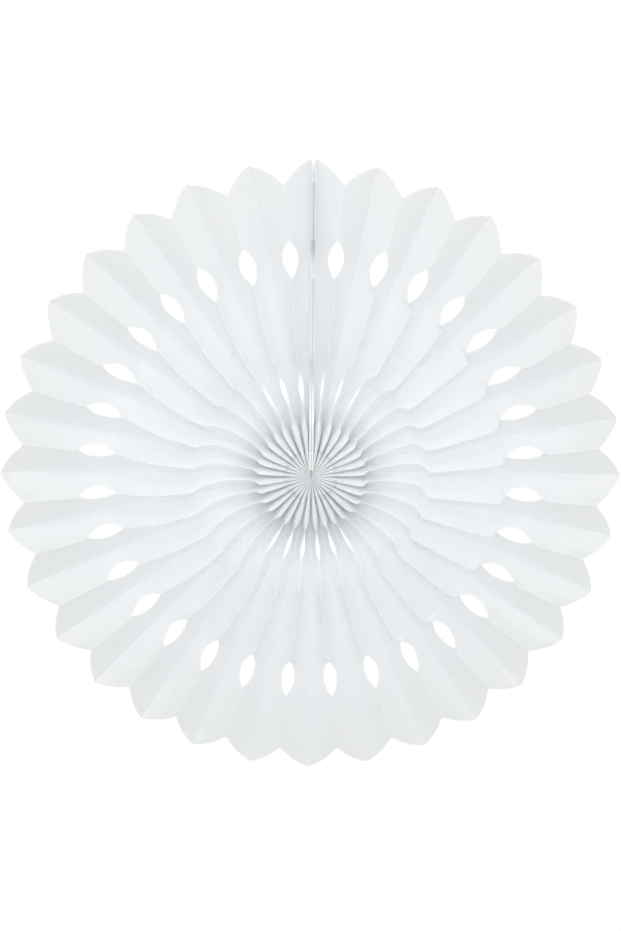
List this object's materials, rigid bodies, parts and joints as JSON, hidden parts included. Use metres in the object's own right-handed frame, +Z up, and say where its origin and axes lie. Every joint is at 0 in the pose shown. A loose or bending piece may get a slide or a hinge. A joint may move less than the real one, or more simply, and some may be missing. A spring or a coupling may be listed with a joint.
{
  "type": "paper fan rosette",
  "caption": "Round hanging decoration: pleated tissue opened through a full turn, die-cut into petals and pointed ovals, joined between two stiff cards.",
  "frame": {"origin": "centre of the hub, halfway between the front and the back folds", "axes": "the disc lies in the XZ plane; -Y is its front, +Z is up along the seam, +X is to the viewer's right"},
  "size_m": [0.4, 0.02, 0.4],
  "materials": {
    "tissue": "matte white tissue",
    "card": "matte white card",
    "tape": "translucent adhesive",
    "thread": "white cotton"
  },
  "bodies": {
    "root": {"tissue_fan": "tissue", "end_card_left": "card", "end_card_right": "card", "joining_tape": "tape", "hub_thread": "thread"}
  },
  "joints": []
}
